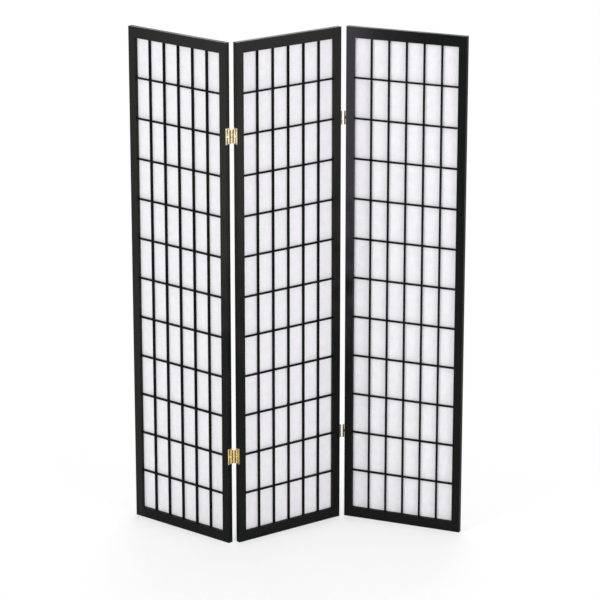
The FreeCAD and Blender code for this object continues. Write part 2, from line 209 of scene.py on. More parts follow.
def black_lacquer(name, deep, worn, painted_sheens, roughness, shine):
    """Black satin nitrocellulose lacquer, sprayed over planed softwood: almost black, with the
    grain just showing as long dull streaks and a fine orange peel that breaks up the shine. A
    painted sheen greys it from hip height up, standing in for the light it catches there, and
    near the floor it keeps its deep black. The last argument lists the painted sheen colours
    from left to right, each with its place in metres from the middle."""
    material, tree, output = new_material(name)
    place = add(tree, "Attribute", attribute_name="pattern").outputs["Vector"]
    # growth rings telegraph through the film: streaks 3.5 mm wide and about 180 mm long
    streaks = add(tree, "Mapping", {"Vector": place}, vector_type="POINT", Scale=(5.5, 290, 290))
    rings = add(tree, "TexNoise", {"Vector": streaks.outputs[0]}, Scale=1.0, Detail=3.0, Roughness=0.55)
    # open pores, 0.5 mm wide and 14 mm long
    pores = add(tree, "Mapping", {"Vector": place}, vector_type="POINT", Scale=(70, 2000, 2000))
    pits = add(tree, "TexNoise", {"Vector": pores.outputs[0]}, Scale=1.0, Detail=2.0, Roughness=0.5)
    # cloudiness of the sprayed coats, a hand's breadth across
    clouds = add(tree, "TexNoise", {"Vector": place}, Scale=9.0, Detail=2.0, Roughness=0.5)
    # orange peel of the spray, 1.2 mm across
    peel = add(tree, "TexNoise", {"Vector": place}, Scale=820.0, Detail=1.0, Roughness=0.4)
    tone = add(tree, "ValToRGB", {"Fac": rings.outputs["Fac"]})
    tone.color_ramp.elements[0].position, tone.color_ramp.elements[0].color = 0.3, colour(deep)
    tone.color_ramp.elements[1].position, tone.color_ramp.elements[1].color = 0.72, colour(worn)
    tint = add(tree, "ValToRGB", {"Fac": clouds.outputs["Fac"]})
    tint.color_ramp.elements[0].position, tint.color_ramp.elements[0].color = 0.36, colour("#0a1110")
    tint.color_ramp.elements[1].position, tint.color_ramp.elements[1].color = 0.64, colour("#161212")
    mixed = add(tree, "Mix", data_type="RGBA", blend_type="MIX")
    mixed.inputs[0].default_value = 0.45
    tree.links.new(tone.outputs["Color"], mixed.inputs[6])
    tree.links.new(tint.outputs["Color"], mixed.inputs[7])
    # the painted sheen differs from stile to stile, each stile's grey standing in for the light it catches:
    # a ramp along x across the reach set below
    spot = add(tree, "SeparateXYZ", {"Vector": add(tree, "TexCoord").outputs["Object"]}).outputs
    across = add(tree, "MapRange", {"Value": spot["X"]}, From_Min=-PAINTED_SHEEN_REACH, From_Max=PAINTED_SHEEN_REACH,
                 To_Min=0.0, To_Max=1.0)
    painted_sheen_ramp = add(tree, "ValToRGB", {"Fac": across.outputs[0]})
    stops = painted_sheen_ramp.color_ramp.elements
    for number, (x, code) in enumerate(painted_sheens):
        position = (x + PAINTED_SHEEN_REACH) / (2 * PAINTED_SHEEN_REACH)
        stop = stops.new(position) if number else stops[0]
        stop.position, stop.color = position, colour(code)
    stops[-1].color = colour(painted_sheens[-1][1])
    # the painted sheen comes in between 0.55 m and 1.35 m above the floor, uneven by the clouds, and on the
    # outermost left stile it goes right down
    down = add(tree, "MapRange", {"Value": spot["X"]}, From_Min=-0.55, From_Max=-0.5,
               To_Min=1.1, To_Max=0.0)
    height = add(tree, "Math", {0: spot["Z"], 1: down.outputs[0]}, operation="ADD").outputs[0]
    uneven = add(tree, "MapRange", {"Value": clouds.outputs["Fac"]}, From_Min=0.3, From_Max=0.7,
                 To_Min=-0.25, To_Max=0.25)
    level = add(tree, "Math", {0: height, 1: uneven.outputs[0]}, operation="ADD")
    rise = add(tree, "MapRange", {"Value": level.outputs[0]}, From_Min=0.55, From_Max=1.35,
               To_Min=0.0, To_Max=1.0, interpolation_type="SMOOTHSTEP")
    painted_sheen_mix = add(tree, "Mix", data_type="RGBA", blend_type="MIX")
    tree.links.new(painted_sheen_ramp.outputs["Color"], painted_sheen_mix.inputs[7])
    tree.links.new(rise.outputs[0], painted_sheen_mix.inputs[0])
    tree.links.new(mixed.outputs[2], painted_sheen_mix.inputs[6])
    gloss = add(tree, "MapRange", {"Value": clouds.outputs["Fac"]}, From_Min=0.3, From_Max=0.7,
                To_Min=roughness - 0.05, To_Max=roughness + 0.07)
    shape = add(tree, "Math", {0: rings.outputs["Fac"], 1: pits.outputs["Fac"]}, operation="ADD")
    grain = add(tree, "Bump", {"Height": shape.outputs[0]}, Strength=0.35, Distance=0.00012)
    skin = add(tree, "Bump", {"Height": peel.outputs["Fac"], "Normal": grain.outputs[0]},
               Strength=0.3, Distance=0.00005)
    surface = add(tree, "BsdfPrincipled", {"Base Color": painted_sheen_mix.outputs[2], "Roughness": gloss.outputs[0],
                                           "Normal": skin.outputs[0]}, IOR=1.5)
    surface.inputs["Specular IOR Level"].default_value = shine
    tree.links.new(surface.outputs[0], output.inputs["Surface"])
    return material


# painted sheen: greyed lacquer colours by place along x, standing in for the light each stile catches above
# hip height
PAINTED_SHEEN_REACH = 0.6
FRAME_PAINTED_SHEENS = [(-0.58, "#1e1e1c"), (-0.45, "#222221"), (-0.22, "#252423"),
               (0.152, "#252423"), (0.162, "#3c393f"), (0.2, "#353237"),
               (0.27, "#1d1c1e"), (0.42, "#0a0b0b"), (0.57, "#070a0a")]
frame_lacquer = black_lacquer("black satin lacquer on the frames", "#080a09", "#131412", FRAME_PAINTED_SHEENS,
                              0.46, 0.08)
STEP_RUN = 1e-3                            # a step's two outlines are told apart this far on either side


def stile(hinged):
    """A left stile. Its outline has six corners, and along its height two of them move: the outer
    edge steps in by a leaf's thickness inside a hinge gain, and the back inner corner between the
    rebate's ends goes from (29, 19) to the rebate's inner corner (23, 13.5)."""
    gains = [z + side * LEAF_HEIGHT / 2 for z in HINGE_HEIGHTS for side in (-1, 1)] if hinged else []
    steps = np.sort(np.repeat(np.array([*REBATE_RISE, *gains]), 2))
    along, drawn = eased_run(0.0, PANEL_HEIGHT, steps, KEEN)
    inside = np.zeros(len(along))
    inside[3:-3] = np.tile([-1, 1], len(steps) // 2) * STEP_RUN
    height = along + inside
    edge = np.zeros(len(along))
    for z in HINGE_HEIGHTS if hinged else []:
        edge = np.where(abs(height - z) < LEAF_HEIGHT / 2, LEAF_THICKNESS, edge)
    rebated = (height > REBATE_RISE[0]) & (height < REBATE_RISE[1])
    inner_x = np.where(rebated, STILE_WIDTH - REBATE_WIDTH, STILE_WIDTH)
    inner_y = np.where(rebated, PAPER_PLANE, PANEL_THICKNESS)
    whole = np.ones(len(along))
    corners = np.stack([
        np.stack([edge, 0 * whole], -1), np.stack([STILE_WIDTH * whole, 0 * whole], -1),
        np.stack([STILE_WIDTH * whole, PAPER_PLANE * whole], -1), np.stack([inner_x, inner_y], -1),
        np.stack([(STILE_WIDTH - REBATE_WIDTH) * whole, PANEL_THICKNESS * whole], -1),
        np.stack([edge, PANEL_THICKNESS * whole], -1)], 1)
    radii = np.stack([EASED * (edge == 0), KEEN * whole, 0 * whole, 0 * whole, KEEN * rebated,
                      EASED * (edge == 0)], -1)
    return swept(outline(corners, radii, drawn), along)


def mirrored(points, faces):
    """The same body for the panel's other side: x becomes width - x, and the faces are turned over."""
    return points * (-1, 1, 1) + (PANEL_WIDTH, 0, 0), [face[::-1] for face in faces]


for panel in PANEL_ANGLES:
    for side in ("left", "right"):
        hinged = (panel, side) not in (("left", "left"), ("right", "right"))
        points, faces = stile(hinged)
        if side == "right":
            points, faces = mirrored(points, faces)
        piece(f"{panel}_{side}_stile_lacquered", [(points, faces, grained(points, 2))], on_panel(panel),
              frame_lacquer, f"{panel}_panel", [f"{panel}_{side}_stile"])


# ---------------------------------------------------------------- rails
# Top and bottom rails of the same wood and lacquer, tenoned between the stiles. Their
# shoulders are left keen, so a hairline shows where they meet the stiles, and each has
# the paper's rebate along its inner back edge.

OPENING_RISE = (BOTTOM_RAIL_HEIGHT, PANEL_HEIGHT - TOP_RAIL_HEIGHT)
RAIL_OUTLINES = {
    "top_rail": [(0, OPENING_RISE[1]), (PAPER_PLANE, OPENING_RISE[1]), (PAPER_PLANE, REBATE_RISE[1]),
                 (PANEL_THICKNESS, REBATE_RISE[1]), (PANEL_THICKNESS, PANEL_HEIGHT), (0, PANEL_HEIGHT)],
    "bottom_rail": [(0, 0), (PANEL_THICKNESS, 0), (PANEL_THICKNESS, REBATE_RISE[0]),
                    (PAPER_PLANE, REBATE_RISE[0]), (PAPER_PLANE, OPENING_RISE[0]), (0, OPENING_RISE[0])],
}
RAIL_RADII = {"top_rail": [KEEN, KEEN, 0, KEEN, EASED, EASED],
              "bottom_rail": [EASED, EASED, KEEN, 0, KEEN, KEEN]}


def rail(kind):
    """An outline in (y, z) carried along x from stile to stile."""
    along, drawn = eased_run(STILE_WIDTH, PANEL_WIDTH - STILE_WIDTH, np.zeros(0), KEEN)
    corners = np.broadcast_to(np.array(RAIL_OUTLINES[kind], float), (len(along), 6, 2))
    points, faces = swept(outline(corners, np.array(RAIL_RADII[kind]), drawn), along)
    return points[:, [2, 0, 1]], faces


for panel in PANEL_ANGLES:
    for kind in RAIL_OUTLINES:
        points, faces = rail(kind)
        piece(f"{panel}_{kind}_lacquered", [(points, faces, grained(points, 0))], on_panel(panel),
              frame_lacquer, f"{panel}_panel", [f"{panel}_{kind}"])


# ---------------------------------------------------------------- lattice
# Five upright and eleven level bars to a panel, 5 x 10 mm softwood in the same lacquer.
# They are half-lapped at every crossing, the upright in front, and let 4 mm into the frame.

BAR_WIDTH, BAR_FRONT, BAR_BACK = 5.0, 3.5, 13.5
LAP_PLANE, STUB, BAR_ARRIS = (BAR_FRONT + BAR_BACK) / 2, 4.0, 0.45
CELL_COLUMNS, CELL_ROWS = 6, 12
COLUMN_PITCH = (PANEL_WIDTH - 2 * STILE_WIDTH + BAR_WIDTH) / CELL_COLUMNS
ROW_PITCH = (OPENING_RISE[1] - OPENING_RISE[0] + BAR_WIDTH) / CELL_ROWS
COLUMNS = STILE_WIDTH - BAR_WIDTH / 2 + COLUMN_PITCH * np.arange(1, CELL_COLUMNS)
ROWS = OPENING_RISE[0] - BAR_WIDTH / 2 + ROW_PITCH * np.arange(1, CELL_ROWS)
# the lattice gets the same painted sheen, one grey above hip height
bar_lacquer = black_lacquer("black satin lacquer on the lattice", "#020202", "#080808", [(0.0, "#0c0c0c")],
                            0.5, 0.05)


def bar(middle, start, stop, crossings, notch_in_front):
    """A bar whose front or back steps to the lap plane over each crossing. Its outline is in
    (across, depth), four corners, and one pair of them moves at the laps."""
    laps = (crossings[:, None] + np.array([-0.5, -0.5, 0.5, 0.5]) * BAR_WIDTH).ravel()
    along, drawn = eased_run(start, stop, laps, BAR_ARRIS)
    cut = np.zeros(len(along), bool)
    cut[3:-3] = np.tile([False, True, True, False], len(crossings))
    front = np.where(cut & notch_in_front, LAP_PLANE, BAR_FRONT)
    back = np.where(cut & (not notch_in_front), LAP_PLANE, BAR_BACK)
    low = np.full(len(along), middle - BAR_WIDTH / 2)
    high = low + BAR_WIDTH
    corners = np.stack([np.stack([low, front], -1), np.stack([high, front], -1),
                        np.stack([high, back], -1), np.stack([low, back], -1)], 1)
    radii = np.full((len(along), 4), BAR_ARRIS)
    return swept(outline(corners, radii, drawn, steps=2), along)


for panel in PANEL_ANGLES:
    uprights, levels = [], []
    for x in COLUMNS:
        points, faces = bar(x, OPENING_RISE[0] - STUB, OPENING_RISE[1] + STUB, ROWS, False)
        uprights.append((points, faces, grained(points, 2)))
    for z in ROWS:
        points, faces = bar(z, STILE_WIDTH - STUB, PANEL_WIDTH - STILE_WIDTH + STUB, COLUMNS, True)
        points = points[:, [2, 1, 0]]
        levels.append((points, [face[::-1] for face in faces], grained(points, 0)))
    piece(f"{panel}_upright_bars_lacquered", uprights, on_panel(panel), bar_lacquer,
          f"{panel}_panel", [f"{panel}_vertical_bars"])
    piece(f"{panel}_level_bars_lacquered", levels, on_panel(panel), bar_lacquer,
          f"{panel}_panel", [f"{panel}_horizontal_bars"])


# ---------------------------------------------------------------- paper
# One sheet to a panel of white fibre paper, glued to the back of the lattice and lapping
# onto the frame's rebate. It is tight over the bars and bellies a little in each cell.

PAPER_THICKNESS, PAPER_MARGIN, GLUE = 0.22, 0.5, 0.04
BELLY, RIPPLE = 0.55, 0.12                 # how far a cell's paper swells and ripples at the most
STEPS_ACROSS, STEPS_UP = 8, 14             # mesh steps to a cell


def white_paper(name):
    """Machine-made fibre paper: matt white, with long fibres that show as fine paler and greyer
    threads, a slight cloudiness from the pulp, and some light coming through."""
    material, tree, output = new_material(name)
    place = add(tree, "Attribute", attribute_name="pattern").outputs["Vector"]
    cloud = add(tree, "TexNoise", {"Vector": place}, Scale=38.0, Detail=4.0, Roughness=0.6)
    heights = []
    # fibres 0.5 mm wide and 12 to 25 mm long in three lays, drawn twice as coarse as the real
    # ones so that they show
    for turn, stretch in ((8, 55.0), (74, 75.0), (-38, 65.0)):
        lay = add(tree, "Mapping", {"Vector": place}, vector_type="TEXTURE",
                  Rotation=(0, math.radians(turn), 0))
        lay = add(tree, "Mapping", {"Vector": lay.outputs[0]}, vector_type="POINT",
                  Scale=(1300, 1300, stretch))
        wave = add(tree, "TexNoise", {"Vector": lay.outputs[0]}, Scale=1.0, Detail=1.5,
                   Roughness=0.5, Distortion=0.6)
        heights.append(wave.outputs["Fac"])
    two = add(tree, "Math", {0: heights[0], 1: heights[1]}, operation="MAXIMUM")
    fibres = add(tree, "Math", {0: two.outputs[0], 1: heights[2]}, operation="MAXIMUM")
    tone = add(tree, "ValToRGB", {"Fac": fibres.outputs[0]})
    tone.color_ramp.elements[0].position, tone.color_ramp.elements[0].color = 0.5, colour("#eeedef")
    tone.color_ramp.elements[1].position, tone.color_ramp.elements[1].color = 0.78, colour("#faf9fa")
    pulp = add(tree, "ValToRGB", {"Fac": cloud.outputs["Fac"]})
    pulp.color_ramp.elements[0].position, pulp.color_ramp.elements[0].color = 0.3, colour("#ebebed")
    pulp.color_ramp.elements[1].position, pulp.color_ramp.elements[1].color = 0.7, colour("#f8f7f8")
    mixed = add(tree, "Mix", data_type="RGBA", blend_type="MIX")
    mixed.inputs[0].default_value = 0.5
    tree.links.new(tone.outputs["Color"], mixed.inputs[6])
    tree.links.new(pulp.outputs["Color"], mixed.inputs[7])
    rough = add(tree, "MapRange", {"Value": fibres.outputs[0]}, From_Min=0.4, From_Max=0.8,
                To_Min=0.9, To_Max=0.72)
    felt = add(tree, "Bump", {"Height": fibres.outputs[0]}, Strength=0.5, Distance=0.00006)
    body = add(tree, "BsdfPrincipled", {"Base Color": mixed.outputs[2], "Roughness": rough.outputs[0],
                                        "Normal": felt.outputs[0]}, IOR=1.45)
    body.inputs["Specular IOR Level"].default_value = 0.25
    through = add(tree, "BsdfTranslucent", {"Color": mixed.outputs[2], "Normal": felt.outputs[0]})
    both = add(tree, "MixShader")
    both.inputs[0].default_value = 0.3
    tree.links.new(body.outputs[0], both.inputs[1])
    tree.links.new(through.outputs[0], both.inputs[2])
    tree.links.new(both.outputs[0], output.inputs["Surface"])
    return material


paper_white = white_paper("white fibre paper")
ROLL_REACH = 5.0                           # metres of the roll over which the sheets' places are spread


def cells(places, bars):
    """The cell that each place is in, and its phase there: 0 at one bar's edge, 1 at the next bar's."""
    starts, ends = bars[:-1] + BAR_WIDTH / 2, bars[1:] - BAR_WIDTH / 2
    cell = np.clip(np.searchsorted(bars, places) - 1, 0, len(starts) - 1)
    return cell, np.clip((places - starts[cell]) / (ends[cell] - starts[cell]), 0, 1)


def sheet_places(low, high, bars, steps):
    """Places across the sheet: its two edges, and even steps inside each cell."""
    starts, ends = bars[:-1] + BAR_WIDTH / 2, bars[1:] - BAR_WIDTH / 2
    inside = starts[:, None] + (ends - starts)[:, None] * np.linspace(0, 1, steps + 1)
    return np.concatenate([[low], inside.ravel(), [high]])


def paper_sheet():
    """A closed thin sheet over (x, z): y = plane + belly (1 - cos 2 pi p)(1 - cos 2 pi q) / 4, with p and
    q the phases across and up each cell and a belly of its own for each, plus long shallow ripples."""
    half_bar = BAR_WIDTH / 2
    columns = np.concatenate([[STILE_WIDTH - half_bar], COLUMNS, [PANEL_WIDTH - STILE_WIDTH + half_bar]])
    rows = np.concatenate([[OPENING_RISE[0] - half_bar], ROWS, [OPENING_RISE[1] + half_bar]])
    edge_x, edge_z = STILE_WIDTH - REBATE_WIDTH + PAPER_MARGIN, REBATE_RISE[0] + PAPER_MARGIN
    xs = sheet_places(edge_x, PANEL_WIDTH - edge_x, columns, STEPS_ACROSS)
    zs = sheet_places(edge_z, REBATE_RISE[1] - PAPER_MARGIN, rows, STEPS_UP)
    bellies = draws.uniform(-0.1, 1.0, (CELL_ROWS, CELL_COLUMNS)) * BELLY
    ripples = draws.uniform(0, 2 * math.pi, (CELL_ROWS, CELL_COLUMNS))
    x, z = np.meshgrid(xs, zs)
    column, p = cells(x, columns)
    row, q = cells(z, rows)
    held = (1 - np.cos(2 * np.pi * p)) * (1 - np.cos(2 * np.pi * q)) / 4
    ripple = RIPPLE * np.cos(2 * np.pi * (1.5 * p + 0.2 * q) + ripples[row, column])
    lift = np.maximum(held * (bellies[row, column] + ripple), 0)
    sides = []
    for plane in (PAPER_PLANE + GLUE, PAPER_PLANE + GLUE + PAPER_THICKNESS):
        sides.append(np.stack([x, plane + lift, z], -1).reshape(-1, 3))
    wide, high = len(xs), len(zs)
    j, i = np.meshgrid(np.arange(high - 1), np.arange(wide - 1), indexing="ij")
    start = j * wide + i
    front = np.stack([start, start + 1, start + wide + 1, start + wide], -1).reshape(-1, 4)
    back = front[:, ::-1] + wide * high
    rim = np.concatenate([np.arange(wide), np.arange(2, high + 1) * wide - 1,
                          high * wide - 1 - np.arange(1, wide), np.arange(high - 2, 0, -1) * wide])
    after = np.roll(rim, -1)
    edge = np.stack([after, rim, rim + wide * high, after + wide * high], -1)
    return np.concatenate(sides), front.tolist() + back.tolist() + edge.tolist()


for panel in PANEL_ANGLES:
    points, faces = paper_sheet()
    pattern = points * MM + draws.uniform(0, ROLL_REACH, 3)
    sheet = piece(f"{panel}_paper_sheet", [(points, faces, pattern)], on_panel(panel),
                  paper_white, f"{panel}_panel", [f"{panel}_paper"])
    sheet.modifiers.clear()


# ---------------------------------------------------------------- beads
# Thin lacquered strips pinned in the rebate behind the paper. The upright pair runs the
# full height, the level pair fits between them, and the inner back edge is chamfered.

BEAD_FRONT, BEAD_CHAMFER, BEAD_FIT, BEAD_ARRIS = 13.9, 1.6, 0.05, 0.35


def bead(outer, inner, start, stop):
    """Outline in (across, depth) with five corners, two of them the chamfer's, carried along the strip."""
    turn = 1 if inner > outer else -1
    corners = [(outer, BEAD_FRONT), (inner, BEAD_FRONT), (inner, PANEL_THICKNESS - BEAD_CHAMFER),
               (inner - turn * BEAD_CHAMFER, PANEL_THICKNESS), (outer, PANEL_THICKNESS)]
    corners = np.array(corners if turn > 0 else corners[::-1], float)
    along, drawn = eased_run(start, stop, np.zeros(0), BEAD_ARRIS)
    corners = np.broadcast_to(corners, (len(along), 5, 2))
    return swept(outline(corners, np.full(5, BEAD_ARRIS), drawn, steps=2), along)


for panel in PANEL_ANGLES:
    rise = (REBATE_RISE[0] + BEAD_FIT, REBATE_RISE[1] - BEAD_FIT)
    points, faces = bead(STILE_WIDTH - REBATE_WIDTH + BEAD_FIT, STILE_WIDTH, *rise)
    right_points, right_faces = mirrored(points, faces)
    piece(f"{panel}_upright_beads_lacquered",
          [(points, faces, grained(points, 2)), (right_points, right_faces, grained(right_points, 2))],
          on_panel(panel), frame_lacquer, f"{panel}_panel", [f"{panel}_side_beads"])
    ends = []
    for outer, inner in zip(rise, OPENING_RISE):
        points, faces = bead(outer, inner, STILE_WIDTH + BEAD_FIT, PANEL_WIDTH - STILE_WIDTH - BEAD_FIT)
        points = points[:, [2, 1, 0]]
        ends.append((points, [face[::-1] for face in faces], grained(points, 0)))
    piece(f"{panel}_level_beads_lacquered", ends, on_panel(panel), frame_lacquer,
          f"{panel}_panel", [f"{panel}_end_beads"])


# ---------------------------------------------------------------- hinge leaves
# Eight leaves of 1.6 mm brass plate, let flush into the stiles' edges, each with a lug
# round its pin. They are countersunk for four screws and polished.

LEAF_ARRIS, KNUCKLE_RADIUS, LUG_HEIGHT, LUG_ARRIS = 0.45, 3.0, 8.0, 0.35
SCREW_OFFSET, SCREW_RISE, SCREW_RADIUS = 5.9, 19.0, 1.2
SCREW_HEAD_RADIUS, SCREW_HEAD_DEPTH = 2.3, 1.2
HEAD_PLAY, HOLE_DEPTH = 0.12, 1.5          # the countersink is this much wider than a screw's head
HINGES = [(side, level) for side in ("left", "right") for level in ("upper", "lower")]
LEAF_ANGLES = {("left", "inner"): PANEL_ANGLES["centre"], ("left", "outer"): PANEL_ANGLES["left"] + 180,
               ("right", "inner"): PANEL_ANGLES["centre"] + 180, ("right", "outer"): PANEL_ANGLES["right"]}
BRASS_REACH = 3.0                          # metres over which the brass pieces' places are spread
QUARTER_STEPS = 5                          # mesh steps along each side of a plate's quarter


def on_pin(node, angle):
    """Placing of a hinge piece's own millimetres: origin on the pin at mid height, x to the stile."""
    middle = middle_of(node)
    return lambda points: turned_about_z(points, angle) + middle


def stocked(points):
    """Pattern points of a brass piece in metres, with a place of its own on the stock."""
    return points * MM + draws.uniform(0, BRASS_REACH, 3)


def brass(name, pale, deep, brown, roughness):
    """Polished brass under clear lacquer: warm yellow metal, with fine polishing lines along its
    height, deeper patches where fingers have dulled it, and painted shade in a dark colour laid by
    the piece's shade values, which only the links carry, beside their barrels."""
    material, tree, output = new_material(name)
    place = add(tree, "Attribute", attribute_name="pattern").outputs["Vector"]
    # polishing lines, 0.15 mm wide and 8 mm long
    lines = add(tree, "Mapping", {"Vector": place}, vector_type="POINT", Scale=(6500, 6500, 120))
    marks = add(tree, "TexNoise", {"Vector": lines.outputs[0]}, Scale=1.0, Detail=2.0, Roughness=0.6)
    dull = add(tree, "TexNoise", {"Vector": place}, Scale=170.0, Detail=3.0, Roughness=0.6)
    tone = add(tree, "ValToRGB", {"Fac": dull.outputs["Fac"]})
    tone.color_ramp.elements[0].position, tone.color_ramp.elements[0].color = 0.34, colour(deep)
    tone.color_ramp.elements[1].position, tone.color_ramp.elements[1].color = 0.58, colour(pale)
    # painted shade: the piece's shade values, broken up by blots 4 mm across
    hollow = add(tree, "Attribute", attribute_name="hollow").outputs["Fac"]
    blots = add(tree, "TexNoise", {"Vector": place}, Scale=250.0, Detail=2.0, Roughness=0.6)
    blotted = add(tree, "MapRange", {"Value": blots.outputs["Fac"]}, From_Min=0.38, From_Max=0.56,
                  To_Min=0.6, To_Max=1.0)
    depth = add(tree, "Math", {0: hollow, 1: blotted.outputs[0]}, operation="MULTIPLY")
    shaded = add(tree, "Mix", data_type="RGBA", blend_type="MIX")
    shaded.inputs[7].default_value = colour(brown)
    tree.links.new(depth.outputs[0], shaded.inputs[0])
    tree.links.new(tone.outputs["Color"], shaded.inputs[6])
    gloss = add(tree, "MapRange", {"Value": marks.outputs["Fac"]}, From_Min=0.3, From_Max=0.7,
                To_Min=roughness - 0.05, To_Max=roughness + 0.08)
    scratch = add(tree, "Bump", {"Height": marks.outputs["Fac"]}, Strength=0.25, Distance=0.00003)
    surface = add(tree, "BsdfPrincipled", {"Base Color": shaded.outputs[2], "Roughness": gloss.outputs[0],
                                           "Normal": scratch.outputs[0]}, Metallic=1.0)
    tree.links.new(surface.outputs[0], output.inputs["Surface"])
    return material


# the left hinges' plates are polished brass, the upper pair painted near white as a painted highlight;
# the right hinges' plates are painted dark as painted shade
shaded_right_leaf_brass = brass("dark tarnished brass plate", "#5d5036", "#3a3120", "#1c160b", 0.38)
LEAF_BRASS = {("left", "upper"): brass("brass plate with painted highlight", "#fffaec", "#f7ebcd", "#c9a868", 0.3),
              ("left", "lower"): brass("polished brass plate", "#fae9b6", "#e4cb8b", "#a88442", 0.3),
              ("right", "upper"): shaded_right_leaf_brass, ("right", "lower"): shaded_right_leaf_brass}


def leaf_plate():
    """The plate in (y, z, depth), depth inwards from its face. Each quarter has a screw hole: rings run
    from the hole's floor up the countersink to its mouth, point = screw + radius (border - screw) /
    |border - screw|, and then lie on the quarter's own border. A skirt of rectangles, arris (1 - cos t)
    deep and arris (1 - sin t) smaller all round, rounds the plate's rim and runs to its back."""
    half, screw_place = np.array([HALF_THICKNESS, LEAF_HEIGHT / 2]), np.array([SCREW_OFFSET, SCREW_RISE])
    t = np.arange(QUARTER_STEPS) / QUARTER_STEPS
    square = np.concatenate([np.stack([t, 0 * t], -1), np.stack([1 + 0 * t, t], -1),
                             np.stack([1 - t, 1 + 0 * t], -1), np.stack([0 * t, 1 - t], -1)])
    border = square * (half - LEAF_ARRIS)
    way = border - screw_place
    way /= np.linalg.norm(way, axis=-1, keepdims=True)
    mouth = SCREW_HEAD_RADIUS + HEAD_PLAY
    profile = [(SCREW_RADIUS, HOLE_DEPTH), (SCREW_RADIUS, SCREW_HEAD_DEPTH),
               (mouth - 0.08, 0.1), (mouth + 0.02, 0)]
    rings = np.stack([way * radius + screw_place for radius, _ in profile] + [border])
    quarter, walls = swept(rings, np.array([depth for _, depth in profile] + [0.0]))
    walls = walls[:-1]                     # the last ring stays open: it is the edge of the quarter's face
    points, faces, first = [], [], 0
    for sy in (-1, 1):
        for sz in (-1, 1):
            points.append(quarter * (sy, sz, 1))
            faces += [[v + first for v in (face if sy * sz > 0 else face[::-1])] for face in walls]
            first += len(quarter)
    side = np.arange(-QUARTER_STEPS, QUARTER_STEPS) / QUARTER_STEPS
    whole = np.concatenate([np.stack([side, -1 + 0 * side], -1), np.stack([1 + 0 * side, side], -1),
                            np.stack([-side, 1 + 0 * side], -1), np.stack([-1 + 0 * side, -side], -1)])
    turn = np.linspace(0, math.pi / 2, 4)
    depths = np.append(LEAF_ARRIS * (1 - np.cos(turn)), LEAF_THICKNESS)
    insets = np.append(LEAF_ARRIS * (1 - np.sin(turn)), 0.0)
    skirt, walls = swept(whole * (half - insets[:, None, None]), depths)
    points.append(skirt)
    faces += [[v + first for v in face] for face in walls[:-2] + walls[-1:]]
    return np.concatenate(points)[:, [2, 0, 1]] + (PIN_OFFSET, 0, 0), faces


def chord_outline(x, half_width, drawn):
    """Closed outlines from the half width over x, upper side and lower side, each point drawn in along
    its normal. The half width is 0 at the start. drawn has a row for each station, and one value for
    the ring or one for each point."""
    upper = np.stack([x, half_width], -1)
    lower = upper[1:] * (1, -1)
    if half_width[-1] == 0:
        lower = lower[:-1]
    ring = np.concatenate([upper[::-1], lower])
    step = np.roll(ring, -1, 0) - np.roll(ring, 1, 0)
    step /= np.linalg.norm(step, axis=-1, keepdims=True)
    inward = step[:, ::-1] * (-1, 1)
    return ring + np.asarray(drawn)[..., None] * inward


def lug():
    """The lug's outline is a half round about the pin, x = -r cos t, and straight flanks to the plate."""
    t = np.linspace(0, math.pi / 2, 13)
    x = np.append(-KNUCKLE_RADIUS * np.cos(t), PIN_OFFSET + LEAF_THICKNESS / 2)
    half = np.append(KNUCKLE_RADIUS * np.sin(t), KNUCKLE_RADIUS)
    along, drawn = eased_run(-LUG_HEIGHT / 2, LUG_HEIGHT / 2, np.zeros(0), LUG_ARRIS)
    return swept(chord_outline(x, half, drawn[:, None]), along)


for side, level in HINGES:
    for part, body in (("inner", "centre_panel"), ("outer", f"{side}_panel")):
        hinge = f"{side}_{level}_hinge_{part}"
        made = [(points, faces, stocked(points)) for points, faces in (leaf_plate(), lug())]
        piece(hinge + "_leaf_brass", made, on_pin(hinge + "_pin", LEAF_ANGLES[side, part]),
              LEAF_BRASS[side, level], body, [hinge + "_leaf"])


# ---------------------------------------------------------------- hinge links
# One link to a hinge, cast of the same brass: a barrel above and below the lug on each
# pin, and a web that joins all four, so that the screen folds either way.

BARREL_HEIGHT, LINK_WEB, LUG_CLEARANCE, END_PLAY, LINK_ARRIS = 20.0, 2.6, 0.4, 0.3, 0.5
BARREL_END = math.radians(165)             # where a barrel's round ends inside the web
FILLET_POWER = 8                           # the higher, the sharper the hollow between barrel and web
LINK_TURN = 17.5                           # degrees from the front, at rest on both sides
LINK_ANGLES = {"left": LINK_TURN + 180, "right": LINK_TURN}
PAINTED_SHADE_START, PAINTED_SHADE_REACH = 2.2, 8.2      # the painted shade beside a barrel lies this far from its pin
PAINTED_SHADE_FADE_IN, PAINTED_SHADE_FADE_OUT = 1.0, 1.6
# between the dark plates the right hinges' links are painted pale, almost colourless, as a painted
# reflection of the white surround
right_link_brass = brass("cast brass painted pale as reflection", "#fffdf6", "#f4eee0", "#4a3a1c", 0.3)
# the upper left link is painted paler than the lower one as a painted highlight
LINK_BRASS = {("left", "upper"): brass("cast brass with painted highlight", "#fff3cf", "#e4c88c", "#2a1905", 0.18),
              ("left", "lower"): brass("cast brass", "#f8e09a", "#d3ab5a", "#2f1d06", 0.18),
              ("right", "upper"): right_link_brass, ("right", "lower"): right_link_brass}


def from_pins(points, spacing):
    """How far each point of a link is from the nearer pin, measured along x."""
    return np.minimum(abs(points[:, 0]), abs(points[:, 0] - spacing))


